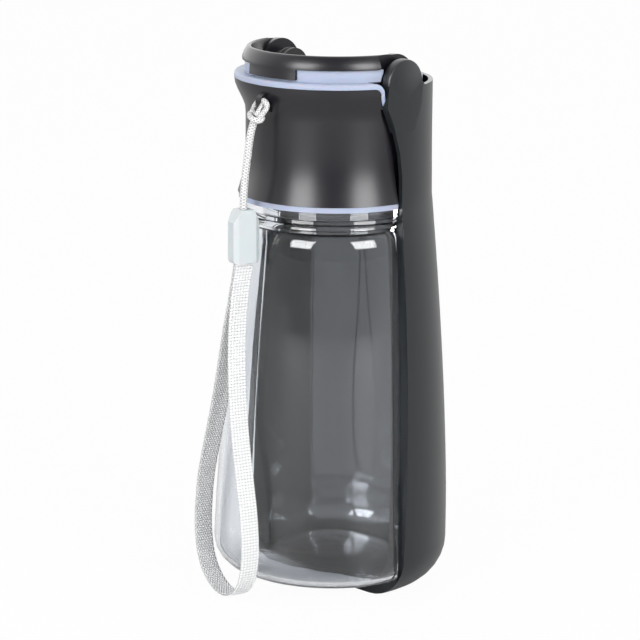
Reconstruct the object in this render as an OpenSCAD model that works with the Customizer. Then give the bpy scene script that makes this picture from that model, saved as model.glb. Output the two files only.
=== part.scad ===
// Dog travel water bottle: a clear bottle, a screw-on head with a drinking
// guard, and a half-round trough that folds down behind the bottle and swings
// up through half a turn. A wrist strap hangs from an eye on the collar.
// Frame: origin on the table under the bottle's axis, +Z up, the hinge axis
// runs along X, the front of the bottle faces -Y and the folded trough +Y.

/* [Bottle] */
// Height of the bottle's base above the table
base_lift = 6.1; // [5.6:0.1:7]
// Height of the bottle from its base to the gasket seat
bottle_h = 144; // [135:0.1:160]
// How far the bottle's front stands out past the trough's radius
front_bulge = 0.8; // [0:0.1:1.8]
// Rise of the domed base inside its foot ring
dome_rise = 7; // [4:0.5:8]
// Radius of the rounding round the bottle's base
base_round = 10.5; // [8:0.5:12]
// Wall thickness of the bottle
bottle_wall = 2; // [1.6:0.1:2.4]
// Thickness of the cap's sleeve between its thread and the collar
sleeve_wall = 1.8; // [1.5:0.1:2.6]
// Height of the neck above the gasket seat
neck_h = 25; // [22:0.5:27]
// Pitch of the neck thread
thread_pitch = 5; // [4:0.5:6]
// Depth of the neck thread
thread_depth = 1.1; // [0.8:0.1:1.2]

/* [Collar] */
// Height of the silicone gasket under the collar
gasket_h = 2.1; // [1.6:0.1:3]
// Height of the collar
collar_h = 43.5; // [41:0.1:46]
// How far the collar's waist stands out past the mouth
waist_out = 3.2; // [2.9:0.1:3.7]
// How far the collar's foot stands out past its waist
foot_out = 2.9; // [2.3:0.1:3.4]
// How far the collar's lip flares out past its waist
lip_out = 4.3; // [3.6:0.1:4.8]
// Wall thickness of the collar
collar_wall = 1.6; // [1.3:0.1:1.8]
// Gap between the collar's back and the folded trough
back_gap = 2.2; // [1.9:0.1:2.4]
// Thickness of the lanyard eye
eye_t = 2.4; // [2:0.1:3]
// Radius of the hole in the lanyard eye
eye_hole_r = 1.5; // [1.4:0.1:1.7]

/* [Mouth] */
// Height of the silicone flange on the collar's lip
flange_h = 2.1; // [1.6:0.1:2.6]
// Height of the silicone band between flange and guard
band_h = 4.5; // [4:0.1:5.5]
// Thickness of the mouth ring's sleeve inside the band
ring_t = 1.9; // [1.6:0.1:2.2]
// Thickness of the silicone band round that sleeve
band_t = 1.6; // [1.3:0.1:1.9]
// Height of the guard above the band
guard_h = 5.1; // [4.5:0.1:6]
// How far the guard's lower edge stands out past the band
guard_out = 1; // [0.6:0.1:1.1]
// How far the guard's rim leans in from its lower edge
guard_lean = 1.9; // [1.4:0.1:2.4]
// Inner radius of the mouth
mouth_r = 30.1; // [29.6:0.1:31]
// Width of the tab at the front of the guard
tab_w = 24; // [20:0.5:28]
// Length of the tab below the guard's lower edge
tab_drop = 3.8; // [3:0.1:4.2]

/* [Hinge] */
// Height of the hinge axis below the top of the silicone flange
axis_drop = 1.2; // [0.8:0.1:1.4]
// Radius of the round hinge discs on the guard
disc_r = 10.5; // [10:0.1:10.8]
// Thickness of a hinge disc
disc_t = 2.4; // [2:0.1:2.8]
// How far a hinge disc's outer face stands out past the mouth
disc_step = 1.2; // [1.1:0.1:1.5]
// Thickness of the washers between the discs and the ears
washer_t = 2; // [1.8:0.1:2.2]
// Radius of the washers
washer_r = 6.6; // [6:0.1:7.4]
// Radius of the trough's ears
ear_r = 9.1; // [8.8:0.1:9.3]
// Thickness of the trough's ears
ear_t = 3.4; // [3:0.1:3.8]
// Radius of the hinge shafts
shaft_r = 2.6; // [2.2:0.1:3]
// Radius of the shafts' heads inside the mouth
shaft_head_r = 6; // [5:0.1:6.4]
// Radius of the valve barrel
barrel_r = 7.4; // [7:0.1:7.6]
// Thickness of the shafts' heads
head_t = 3.7; // [3:0.1:4]
// Height of the barrel's flat above the hinge axis
barrel_flat = 1.5; // [1:0.1:2.5]
// Thickness of the silicone valve seat
seat_t = 1.5; // [1.2:0.1:2]
// Width of the water slot under the barrel
slot_w = 6; // [5:0.5:7]
// Length of the water slot under the barrel
slot_l = 34; // [28:1:36]

/* [Trough] */
// Outer radius of the trough near its foot
trough_r = 44.6; // [44:0.1:45.2]
// Wall thickness of the trough
trough_wall = 1.7; // [1.6:0.1:1.8]
// Width of the trough's rim
rim_w = 3.6; // [3:0.1:4]
// Depth of the thickened rim behind its face
rim_depth = 4.5; // [3:0.5:6]
// Radius of the rounding round the trough's foot
trough_round = 17; // [14:0.5:20]
// Drop of the trough's top edge below the hinge axis
top_drop = 1.5; // [1.2:0.1:2]

/* [Wrist strap] */
// Width of the woven strap
strap_w = 8; // [7:0.5:9]
// Thickness of the woven strap
strap_t = 1.4; // [1:0.1:1.5]
// Diameter of the lanyard cord
cord_d = 3; // [2.6:0.1:3.2]
// Height of the strap's clamp
clamp_h = 20; // [17:0.5:21]
// Width of the strap's clamp
clamp_w = 10.8; // [9.6:0.1:11.4]
// Thickness of the strap's clamp
clamp_t = 6.6; // [5:0.1:7]

/* [Hidden] */

$fn = 96;
far = 90;                 // reach of cutting blocks past the object
run_gap = 0.3;            // clearance of faces that pass each other
fit_gap = 0.1;            // clearance of parts that seat in each other
shaft_gap = 0.06;         // radial clearance of the shafts in their bores
rim_gap = 0.6;            // gap between the trough's rim and the front shells

// Sizes that follow from others, from the mouth outwards
waist_r = mouth_r + waist_out;
lip_r = waist_r + lip_out;
collar_foot_r = waist_r + foot_out;
shoulder_r = collar_foot_r;
collar_bore = waist_r - collar_wall;
cap_r = collar_bore - fit_gap;
cap_bore = cap_r - sleeve_wall;
neck_r = cap_bore - thread_depth - run_gap;
band_in = mouth_r + ring_t + fit_gap;
band_r = mouth_r + ring_t + band_t;
guard_r = band_r + guard_out;
guard_rim_r = guard_r - guard_lean;
disc_out = mouth_r + disc_step;
ear_in = disc_out + washer_t + 2 * fit_gap;
ear_out = ear_in + ear_t;
trough_top_r = ear_out;
collar_back_r = trough_top_r - trough_wall - back_gap;
body_r = trough_r + front_bulge;
barrel_l = 2 * (disc_out - disc_t - head_t - 0.2);

// Levels from the table upwards
gasket_z = base_lift + bottle_h;
collar_z = gasket_z + gasket_h;
lip_z = collar_z + collar_h;
flange_z = lip_z + flange_h;
guard_z = flange_z + band_h;
rim_z = guard_z + guard_h;
hinge_z = flange_z - axis_drop;
neck_z = gasket_z + neck_h;
trough_top_z = hinge_z - top_drop;
deck_z = hinge_z - 12.3;          // underside of the inner cap's deck
deck_t = 3;
cup_r = barrel_r + fit_gap + seat_t;  // outside of the valve seat
notch_r = disc_r + 1.5;           // notch in the front shells round the hinge
lining_t = 1.25;                  // silicone lining of that notch
notch_round = 2.8;                // rounding of the lip's corner beside the notch
arm_z = hinge_z - 8.6;            // where an ear's arm starts to widen into the trough
arm_foot_z = hinge_z - 17.8;      // where it has merged with the trough's side
shell_z = collar_z - 4.2;         // top of the thickened rim

smoke = [0.45, 0.46, 0.49, 0.45];
black = [0.16, 0.16, 0.18];
silicone = [0.72, 0.8, 0.9];

function smooth(t) = t * t * (3 - 2 * t);
function clamp01(t) = min(1, max(0, t));

// Outer radius of the trough above its foot rounding
flare_z0 = 30;
function trough_out(z) = z > collar_z ? trough_top_r + 0.3 * clamp01((arm_foot_z - z) / 30)
    : trough_r - (trough_r - trough_top_r - 0.3)
      * pow(clamp01((z - flare_z0) / (collar_z - flare_z0)), 1.55);

// Front edge of the trough, as a distance in Y, at each height
rim_bend_z = arm_z - 28;
rim_back = 1.6;
rim_lean = 4.6;
function rim_y(z) = z < rim_bend_z
    ? -rim_back - rim_lean * pow(clamp01((rim_bend_z - z) / rim_bend_z), 1.65)
    : -rim_back - (ear_r - rim_back) * pow(clamp01((z - rim_bend_z) / (arm_z - rim_bend_z)), 2);

// Front radius of the bottle between its base rounding and its shoulder
shoulder_z = gasket_z - 14;          // where the side starts to round in
shoulder_round = 8;
crown_z = shoulder_z + shoulder_round * sin(45);
function body_out(z) = body_r - (body_r - shoulder_r)
    * pow(clamp01((z - base_lift - base_round) / (shoulder_z - base_lift - base_round)), 1.2);
// Radius of the bottle behind the trough's rim
function back_out(z) = trough_out(z) - rim_w - rim_gap;

// Front radius of the collar
waist_rise = 0.46 * collar_h;         // from the collar's foot to its waist
lip_flare = 0.29 * collar_h;          // height of the flare under its lip
function collar_out(z) = z < collar_z + waist_rise
    ? waist_r + (collar_foot_r - waist_r) * pow(clamp01((collar_z + waist_rise - z) / waist_rise), 2.2)
    : waist_r + (lip_r - waist_r) * smooth(clamp01((z - lip_z + lip_flare) / lip_flare));

// Space in front of the trough's rim, as a solid
function rim_line(z0, z1, gap, steps) =
    [for (i = [0:steps]) let (z = z0 + (z1 - z0) * i / steps) [rim_y(z) - gap, z]];
module front_space(gap) {
    rotate([90, 0, 90]) linear_extrude(2 * far, center = true)
        polygon(concat([[-far, -far]], [[rim_y(0) - gap, -far]],
            rim_line(0, lip_z + 1, gap, 22), [[rim_y(lip_z) - gap, far + lip_z], [-far, far + lip_z]]));
}

// Slanted sides that turn the bottle's front shell in to the trough's rim
step_turn = 45.5;
step_tilt = -0.84;
step_r = back_out(flare_z0) * cos(step_turn) + rim_y(flare_z0) * sin(step_turn);
module side_cut(inset) {
    for (side = [0, 1]) mirror([side, 0, 0])
        rotate([0, 0, step_turn]) rotate([0, step_tilt, 0])
            translate([step_r - inset, -far, -far]) cube([far, 2 * far, 4 * far]);
}

// Outlines of the bottle, to a given inset from its outside
base_steps = 5;
function base_arc(r, inset) = [for (i = [0:base_steps]) let (a = 90 * i / base_steps)
    [r - base_round + (base_round - inset) * sin(a), base_lift + base_round - (base_round - inset) * cos(a)]];
function side_line(inset, back) = [for (i = [1:7])
    let (z = base_lift + base_round + (shoulder_z - base_lift - base_round) * i / 7)
    [(back ? min(back_out(z), body_out(z)) : body_out(z)) - inset, z]];
foot_r = back_out(base_lift + base_round) - base_round - 1;   // inner edge of the base's foot ring
function dome(inset) = [for (i = [0:4]) let (t = i / 4)
    [t * foot_r, base_lift + inset + dome_rise * (1 - t * t)]];
function shoulder_arc(r, inset) = [for (i = [1:3]) let (a = 15 * i)
    [r - shoulder_round + (shoulder_round - inset) * cos(a), shoulder_z + (shoulder_round - inset) * sin(a)]];
module body_form(inset, back) {
    r = back ? back_out(base_lift + base_round) : body_r;
    top = back ? back_out(shoulder_z) : body_out(shoulder_z);
    rotate_extrude() polygon(concat(dome(inset), base_arc(r, inset),
        side_line(inset, back), shoulder_arc(top, inset), [[0, crown_z - inset]]));
}
bead_r = shoulder_r - 0.9;
function finish_r(back) = back ? collar_back_r - 0.4 : bead_r;
module neck_form(back) {
    r = finish_r(back);
    rotate_extrude() polygon([[0, crown_z - 1], [r - 1.7, crown_z - 1],
        [r - 1.3, crown_z + 0.9], [r - 0.4, crown_z + 1.4], [r - 0.5, crown_z + 2.4],
        [r - 1.1, crown_z + 3], [r - 0.2, crown_z + 3.8], [r - 0.5, crown_z + 5],
        [r, gasket_z - 2.7], [r, gasket_z], [neck_r, gasket_z], [neck_r, neck_z - 0.6], [neck_r - 0.6, neck_z], [0, neck_z]]);
}
module neck_hollow() {
    inner = neck_r - bottle_wall;
    rotate_extrude() polygon([[0, crown_z - 4], [inner + 1, crown_z - 4], [inner, crown_z],
        [inner, neck_z + 1], [0, neck_z + 1]]);
}

// One start of screw thread: a ridge that winds round a radius and fades at both ends
thread_steps = 36;
function ridge(r, out, z0, turns) = [for (i = [0:thread_steps]) let (t = i / thread_steps,
        a = 360 * turns * t, h = 0.15 + 0.85 * clamp01(min(t, 1 - t) * 9), z = z0 + thread_pitch * turns * t,
        root = r - sign(out) * 0.3)
    [for (p = out > 0 ? [[root, -1.1], [r + out * h, -0.35], [r + out * h, 0.35], [root, 1.1]]
            : [[root, 1.1], [r + out * h, 0.35], [r + out * h, -0.35], [root, -1.1]])
        [p[0] * cos(a), p[0] * sin(a), z + p[1]]]];
module swept(rings, closed = false) {
    n = len(rings[0]);
    m = len(rings);
    last = closed ? m : m - 1;
    polyhedron(points = [for (r = rings) each r], convexity = 6,
        faces = concat(
            [for (i = [0:last - 1], j = [0:n - 1]) let (k = (i + 1) % m, l = (j + 1) % n)
                each [[i * n + j, i * n + l, k * n + l], [i * n + j, k * n + l, k * n + j]]],
            closed ? [] : [[for (j = [n - 1:-1:0]) j], [for (j = [0:n - 1]) (m - 1) * n + j]]));
}

module bottle_body() {
    $fn = 72;
    color(smoke) {
        difference() {
            union() {
                body_form(0, true);
                difference() {
                    intersection() {
                        body_form(0, false);
                        front_space(rim_gap);
                    }
                    side_cut(0);
                }
                neck_form(true);
                intersection() {
                    neck_form(false);
                    front_space(rim_gap);
                }
            }
            body_form(bottle_wall, true);
            difference() {
                intersection() {
                    body_form(bottle_wall, false);
                    front_space(rim_gap + bottle_wall);
                }
                side_cut(bottle_wall);
            }
            neck_hollow();
        }
        swept(ridge(neck_r, thread_depth, gasket_z + 9, 1.25));
    }
}

module neck_gasket() {
    color(silicone) difference() {
        union() {
            translate([0, 0, gasket_z]) cylinder(r = finish_r(true), h = gasket_h);
            intersection() {
                translate([0, 0, gasket_z]) cylinder(r = bead_r + 0.5, h = gasket_h);
                front_space(rim_gap);
            }
        }
        translate([0, 0, gasket_z - 1]) cylinder(r = neck_r + 0.4, h = gasket_h + 2);
    }
}

// The collar's outline, front or back
module collar_form(back) {
    rotate_extrude() polygon(concat([[0, collar_z]],
        [for (i = [0:20]) let (z = collar_z + collar_h * i / 20) [back ? collar_back_r : collar_out(z), z]],
        [[0, lip_z]]));
}
// The notch in the front shells: a circle round the hinge axis, whose front
// corner is rounded over into the level top
module hinge_notch(r, top, curve, x0) {
    cz = top - hinge_z - curve;
    cy = sqrt(pow(r + curve, 2) - cz * cz);
    hinge_round(r, x0, far);
    for (side = [0, 1]) mirror([side, 0, 0]) translate([x0, 0, hinge_z]) rotate([90, 0, 90])
        linear_extrude(far - x0) difference() {
            polygon([[0, cz], [-cy, cz] * r / (r + curve), [-cy, cz], [-cy, far], [0, far]]);
            translate([-cy, cz]) circle(curve);
        }
}
module hinge_round(r, x0, x1) {
    for (side = [0, 1]) mirror([side, 0, 0]) translate([x0, 0, hinge_z])
        rotate([0, 90, 0]) cylinder(r = r, h = x1 - x0);
}
eye_y = -lip_r + 0.2;
eye_z = lip_z - 5.7;
module collar() {
    color(black) difference() {
        union() {
            difference() {
                union() {
                    collar_form(true);
                    intersection() {
                        collar_form(false);
                        front_space(rim_gap);
                    }
                }
                hinge_notch(notch_r, lip_z, notch_round, collar_bore - 4);
            }
            // the eye that the lanyard is looped through
            rotate([90, 0, 90]) linear_extrude(eye_t, center = true) difference() {
                hull() {
                    translate([eye_y + 0.2, eye_z]) circle(eye_hole_r + 1.1);
                    translate([eye_y + 3.4, eye_z + 2.6]) circle(2);
                    translate([eye_y + 4.4, eye_z - 3]) circle(1.6);
                }
                translate([-collar_bore - 0.8, eye_z - 9]) square([9, 20]);
            }
        }
        translate([0, 0, collar_z - 1]) cylinder(r = collar_bore, h = collar_h + 2);
        translate([0, eye_y - 0.3, eye_z]) rotate([0, 90, 0])
            cylinder(r = eye_hole_r, h = 3 * eye_t, center = true);
    }
}

wall_in = mouth_r - 0.5;
module inner_cap() {
    cradle = cup_r + 2;
    color(black) {
        difference() {
            // threaded sleeve and deck
            translate([0, 0, collar_z]) cylinder(r = cap_r, h = lip_z - collar_z - 0.1);
            translate([0, 0, collar_z - 1]) cylinder(r = cap_bore, h = deck_z - collar_z + 1);
            // bowl above the deck, round the barrel's cradle
            difference() {
                translate([0, 0, deck_z + deck_t]) cylinder(r = wall_in, h = far);
                translate([-barrel_l / 2 - 2, -cradle, deck_z])
                    cube([barrel_l + 4, 2 * cradle, hinge_z - deck_z - 0.6]);
            }
            // room for the valve seat, the shaft heads and the hinge discs
            translate([-barrel_l / 2 - 3, 0, hinge_z]) rotate([0, 90, 0])
                cylinder(r = cup_r + 0.05, h = barrel_l + 6);
            translate([-barrel_l / 2 - 3, -cup_r - 0.05, hinge_z - 0.01])
                cube([barrel_l + 6, 2 * cup_r + 0.1, 20]);
            hinge_round(disc_r + run_gap, disc_out - disc_t - 2.2, far);
            // water slot
            translate([-slot_l / 2, -slot_w / 2, deck_z - 1]) cube([slot_l, slot_w, 20]);
        }
        swept(ridge(cap_bore, -thread_depth, gasket_z + 9 + thread_pitch / 2, 1.25));
    }
}

module front_of(y) {
    translate([-far, -2 * far, 0]) cube([2 * far, 2 * far - y, 3 * far]);
}
module top_seal() {
    color(silicone) difference() {
        union() {
            // flange on the lip, and band under the guard
            intersection() {
                rotate_extrude() polygon([[cap_r - 1.1, lip_z + 0.02], [lip_r - 0.1, lip_z + 0.02],
                    [lip_r, lip_z + 0.5], [lip_r - 0.1, flange_z - 0.5], [lip_r - 0.6, flange_z],
                    [band_r, flange_z], [band_r, guard_z - 0.05], [band_in, guard_z - 0.05],
                    [band_in, lip_z + 0.6], [cap_r - 1.1, lip_z + 0.6]]);
                front_of(ear_r - lining_t);
            }
            // low lip round the back of the mouth
            difference() {
                translate([0, 0, lip_z + 0.02]) cylinder(r = collar_back_r, h = 0.8);
                front_of(-disc_r);
            }
            // lining of the notches round the hinge, on the front side
            intersection() {
                hinge_notch(notch_r - 0.05, lip_z + 0.05, notch_round + 0.05, collar_bore + 0.1);
                rotate_extrude() polygon(concat([[collar_bore + 0.1, lip_z - 14]],
                    [for (i = [0:10]) let (z = lip_z - 14 + 13.8 * i / 10) [collar_out(z) + 0.1, z]],
                    [[lip_r - 0.2, lip_z + 0.3], [collar_bore + 0.1, lip_z + 0.3]]));
                front_of(5.6);
                union() {
                    front_space(run_gap);
                    translate([-ear_in + run_gap, -far, 0]) cube([2 * (ear_in - run_gap), far, 3 * far]);
                }
            }
        }
        translate([0, 0, lip_z - 1]) cylinder(r = mouth_r + 0.8, h = 2.6);
        // the notch's inner edge, up to the band's foot
        intersection() {
            hinge_notch(notch_r - lining_t, flange_z, notch_round + lining_t, disc_out - disc_t - 1);
            translate([-far, -far, 0]) cube([2 * far, 2 * far, flange_z + 0.01]);
        }
        // the band runs on over the front edge of the hinge discs, and stops before the ears
        hinge_round(disc_r + fit_gap, disc_out - disc_t - 1, disc_out + fit_gap);
        hinge_round(ear_r - 0.2, disc_out, far);
    }
}

module valve_seat() {
    color(silicone) difference() {
        translate([-barrel_l / 2 - 1.8, 0, hinge_z]) rotate([0, 90, 0]) cylinder(r = cup_r, h = barrel_l + 3.6);
        translate([-barrel_l / 2 - 3, 0, hinge_z]) rotate([0, 90, 0])
            cylinder(r = barrel_r + fit_gap, h = barrel_l + 6);
        translate([-far, -far, hinge_z - 0.6]) cube([2 * far, 2 * far, far]);
        translate([-slot_l / 2, -slot_w / 2, deck_z]) cube([slot_l, slot_w, 20]);
    }
}

module guard_wall() {
    rotate_extrude() polygon([[mouth_r, lip_z + 0.65], [mouth_r + ring_t, lip_z + 0.65],
        [mouth_r + ring_t, guard_z], [guard_r, guard_z], [guard_r, guard_z + 0.9],
        [guard_r - 0.5, guard_z + 2.6], [guard_rim_r + 0.4, rim_z - 0.8], [guard_rim_r, rim_z - 0.2],
        [guard_rim_r - 0.4, rim_z], [guard_rim_r - 1, rim_z], [guard_rim_r - 1.4, rim_z - 0.4],
        [mouth_r + 0.3, guard_z], [mouth_r, guard_z - 2]]);
}
module mouth_ring() {
    color(black) difference() {
        union() {
            intersection() {
                guard_wall();
                union() {
                    front_of(ear_r + 0.5);
                    translate([-disc_out, -2 * far, 0]) cube([2 * disc_out, 2 * far, 3 * far]);
                }
            }
            hinge_round(disc_r, disc_out - disc_t, disc_out);
            // tab that hangs over the band at the front
            intersection() {
                translate([0, 0, guard_z - tab_drop])
                    difference() {
                        cylinder(r1 = guard_r + 0.3, r2 = guard_r, h = tab_drop + 0.01);
                        translate([0, 0, -1]) cylinder(r = band_r + 0.15, h = tab_drop + 2);
                    }
                translate([-tab_w / 2, -far, 0]) cube([tab_w, far, 3 * far]);
            }
        }
        hinge_round(shaft_r + shaft_gap, disc_out - disc_t - 1, disc_out + 1);
    }
}

module valve_barrel() {
    color(black) difference() {
        translate([-barrel_l / 2, 0, hinge_z]) rotate([0, 90, 0]) cylinder(r = barrel_r, h = barrel_l);
        translate([-barrel_l / 2 + 3.5, -far, hinge_z + barrel_flat]) cube([barrel_l - 7, 2 * far, far]);
        // grooves for the o-rings and slots for the shafts' tongues
        for (side = [-1, 1]) translate([side * (barrel_l / 2 - 1.7), 0, hinge_z]) rotate([0, 90, 0])
            difference() {
                cylinder(r = barrel_r + 1, h = 1.6, center = true);
                cylinder(r = barrel_r - 1.1, h = 3, center = true);
            }
        for (side = [-1, 1]) translate([side * barrel_l / 2, 0, hinge_z])
            cube([2 * tongue_l, tongue_w + 2 * fit_gap, tongue_h + 4 * fit_gap], center = true);
    }
}
module barrel_o_ring(side) {
    color([0.1, 0.1, 0.1]) translate([side * (barrel_l / 2 - 1.7), 0, hinge_z]) rotate([0, 90, 0])
        rotate_extrude() translate([barrel_r - 0.51, 0]) circle(0.55, $fn = 20);
}
module barrel_o_ring_left() barrel_o_ring(-1);
module barrel_o_ring_right() barrel_o_ring(1);

shaft_end = ear_out - 1;
tongue_l = 2;
tongue_w = 2;
tongue_h = 1.6 * tongue_w + 0.7 * shaft_head_r + 1;
module hinge_shaft(side) {
    head_x = disc_out - disc_t - 0.1;
    color([0.3, 0.3, 0.32]) mirror([side > 0 ? 0 : 1, 0, 0]) translate([0, 0, hinge_z]) {
        translate([barrel_l / 2 + 0.1, 0, 0]) rotate([0, 90, 0]) cylinder(r = shaft_head_r, h = head_t);
        rotate([0, 90, 0]) translate([0, 0, head_x - 0.5]) cylinder(r = shaft_r, h = shaft_end - head_x + 0.5);
        // tongue that turns the barrel
        translate([barrel_l / 2 - tongue_l + 0.2, -tongue_w / 2, -tongue_h / 2])
            cube([tongue_l + 0.4, tongue_w, tongue_h]);
    }
}
module hinge_shaft_left() hinge_shaft(-1);
module hinge_shaft_right() hinge_shaft(1);

module hinge_washer(side) {
    color([0.2, 0.2, 0.22]) mirror([side > 0 ? 0 : 1, 0, 0]) translate([disc_out + fit_gap, 0, hinge_z])
        rotate([0, 90, 0]) difference() {
            cylinder(r = washer_r, h = washer_t);
            translate([0, 0, -1]) cylinder(r = shaft_r + shaft_gap, h = 5);
        }
}
module hinge_washer_left() hinge_washer(-1);
module hinge_washer_right() hinge_washer(1);

// The trough's outline to a given inset
foot_steps = 8;
module trough_form(inset) {
    r = trough_r - inset;
    curve = trough_round - inset;
    rotate_extrude() polygon(concat([[0, inset]],
        [for (i = [0:foot_steps]) let (a = 90 * i / foot_steps)
            [r - curve + curve * sin(a), inset + curve - curve * cos(a)]],
        [for (i = [0:16]) let (z = flare_z0 + (collar_z - flare_z0) * i / 16) [trough_out(z) - inset, z]],
        [for (i = [1:4]) let (z = collar_z + (hinge_z + 6 - collar_z) * i / 4) [trough_out(z) - inset, z]],
        [[0, hinge_z + 6]]));
}
// Side view of the trough, from its rim backwards
module trough_side(depth) {
    line = rim_line(-1, arm_z, 0, 22);
    rotate([90, 0, 90]) linear_extrude(2 * far, center = true)
        polygon(concat(line, [[-ear_r, hinge_z]], depth > 0
            ? [for (i = [len(line) - 1:-1:0]) line[i] + [depth, 0]]
            : [[ear_r - 0.6, hinge_z + 3], [ear_r + 1, hinge_z - 0.4], [ear_r + 3.6, trough_top_z],
               [far, trough_top_z], [far, -1]]));
}
module trough_ear() {
    edge = 0.8;
    translate([ear_in, 0, hinge_z]) rotate([0, 90, 0]) rotate_extrude()
        polygon([[0, 0], [ear_r, 0], [ear_r, ear_out - ear_in - edge],
            [ear_r - edge * 0.3, ear_out - ear_in - edge * 0.3], [ear_r - edge, ear_out - ear_in],
            [0, ear_out - ear_in]]);
    // arm that runs from the ear down into the trough's side
    intersection() {
        translate([ear_in, 0, 0]) rotate([90, 0, 90]) linear_extrude(ear_out - ear_in)
            polygon(concat([[-ear_r, hinge_z]], rim_line(arm_z, arm_foot_z, 0, 4),
                [[ear_r - 4, arm_foot_z], [ear_r, arm_z], [ear_r, hinge_z]]));
        translate([0, 0, arm_foot_z - 1])
            cylinder(r1 = ear_out + 0.1, r2 = sqrt(ear_out * ear_out + ear_r * ear_r), h = hinge_z - arm_foot_z + 1);
    }
}
module trough() {
    color(black) difference() {
        union() {
            intersection() {
                difference() {
                    trough_form(0);
                    trough_form(trough_wall);
                }
                trough_side(0);
            }
            // thickened rim
            intersection() {
                difference() {
                    trough_form(0);
                    trough_form(rim_w);
                }
                trough_side(rim_depth);
                translate([-far, -far, -1]) cube([2 * far, 2 * far, shell_z + 1]);
            }
            for (side = [0, 1]) mirror([side, 0, 0]) trough_ear();
        }
        // blind bores for the shafts
        hinge_round(shaft_r + 0.02, ear_in - 1, shaft_end + 0.05);
        // level foot to stand on
        translate([-far, -far, -far]) cube([2 * far, 2 * far, far]);
    }
}

// The strap hangs in an upright plane in front of the bottle: u runs along the
// plane, c is its distance from the bottle's axis, and z is the height.
strap_turn = 165;
along = [cos(strap_turn), sin(strap_turn)];
outward = [-sin(strap_turn), cos(strap_turn)];
function hang(p) = [along[0] * p[0] + outward[0] * p[1], along[1] * p[0] + outward[1] * p[1], p[2]];
// Centre line of the strap's loop, from the clamp down, round and up again
strap_route = [[-7.9, 42.6, 136], [-7.8, 42.6, 130], [-5.8, 43.4, 118], [-5.6, 44.6, 102], [-8.2, 46, 84],
    [-12.6, 47.2, 66], [-17.5, 47.8, 49], [-20.6, 47.8, 35], [-21.6, 47.8, 22], [-19.4, 47.8, 11],
    [-13, 47.8, 4], [-4, 47.8, 1.5], [5, 47.8, 3.6], [12, 47.8, 9.5], [15.3, 47.8, 19],
    [15.4, 47.8, 30], [13, 47.8, 44], [8.6, 47.6, 58], [4.4, 46.8, 73], [1.4, 45.7, 88],
    [-0.8, 44.6, 102], [-3.8, 43.4, 117], [-6.4, 42.6, 130], [-6.3, 42.6, 136]];
clamp_u = -7.1;
clamp_c = 42.6;
clamp_z = 130;
// Centre line of the cord, from the clamp up to the knot
cord_route = [[-4.1, -43, 146], [-4.1, -43.1, 152], [-3.8, -43, 158], [-3.5, -42.6, 164],
    [-3, -42, 170], [-2.2, -40.9, 175], [-1.2, -39.5, 179.4], [-0.3, -38.3, 182.6]];

// A smooth curve through the points, with so many steps in each span
function spline(a, b, c, d, t) = 0.5 * (2 * b + t * (c - a) + t * t * (2 * a - 5 * b + 4 * c - d)
    + t * t * t * (3 * b - a - 3 * c + d));
function through(p, steps) = let (n = len(p)) concat([for (i = [0:n - 2], k = [0:steps - 1])
    spline(p[max(0, i - 1)], p[i], p[i + 1], p[min(n - 1, i + 2)], k / steps)], [p[n - 1]]);
function unit(v) = v / norm(v);
function heading(p, i) = unit(p[min(len(p) - 1, i + 1)] - p[max(0, i - 1)]);
// Rings of a round tube along a path that mostly climbs
function tube_rings(p, r, sides) = [for (i = [0:len(p) - 1]) let (t = heading(p, i),
        s = unit(cross(t, [0.3, 1, 0.1])), w = cross(t, s))
    [for (j = [0:sides - 1]) let (a = -360 * j / sides) p[i] + r * (cos(a) * s + sin(a) * w)]];
// Rings of a flat strap whose width stays square to its plane
function strap_rings(p, w, t) = let (side = [outward[0], outward[1], 0])
    [for (i = [0:len(p) - 1]) let (d = heading(p, i), up = unit(cross(side, d)), wide = cross(d, up))
        [for (q = [[-1, -1], [1, -1], [1, 1], [-1, 1]]) p[i] + wide * q[0] * w / 2 + up * q[1] * t / 2]];

module wrist_strap() {
    color([0.92, 0.92, 0.92])
        swept(strap_rings(through([for (p = strap_route) hang(p)], 2), strap_w, strap_t));
}

module lanyard_cord() {
    color([0.92, 0.92, 0.92]) swept(tube_rings(cord_route, cord_d / 2, 8));
}

// The bight through the eye, and the wraps that lock it
module cord_knot() {
    bight_r = 1;
    y = eye_y - 0.3;
    bight = [[-1.3, y - 1.4, eye_z - 6.4], [-2.4, y - 1.3, eye_z - 4], [-2.7, y - 0.9, eye_z - 1.5],
        [-1.5, y - 0.1, eye_z - 0.1], [0, y, eye_z], [1.5, y - 0.1, eye_z - 0.1],
        [2.7, y - 0.9, eye_z - 1.5], [2.4, y - 1.3, eye_z - 4], [1.3, y - 1.4, eye_z - 6.4]];
    wrap = [for (i = [0:30]) let (a = 22 * i, t = i / 30)
        cord_route[7] + [1.7 * cos(a), 1.7 * sin(a) - 0.2, -2.6 + 4.2 * t]];
    color([0.92, 0.92, 0.92]) {
        swept([for (i = [0:len(bight) - 1]) let (t = heading(bight, i), s = unit(cross(t, [0, 0.5, 1])),
                w = cross(t, s))
            [for (j = [0:7]) let (a = -45 * j) bight[i] + bight_r * (cos(a) * s + sin(a) * w)]]);
        swept([for (i = [0:30]) let (t = heading(wrap, i), w = unit(cross(t, [0, 0, 1])), s = cross(w, t))
            [for (j = [0:5]) let (a = -60 * j) wrap[i] + bight_r * (cos(a) * s + sin(a) * w)]]);
    }
}

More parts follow.
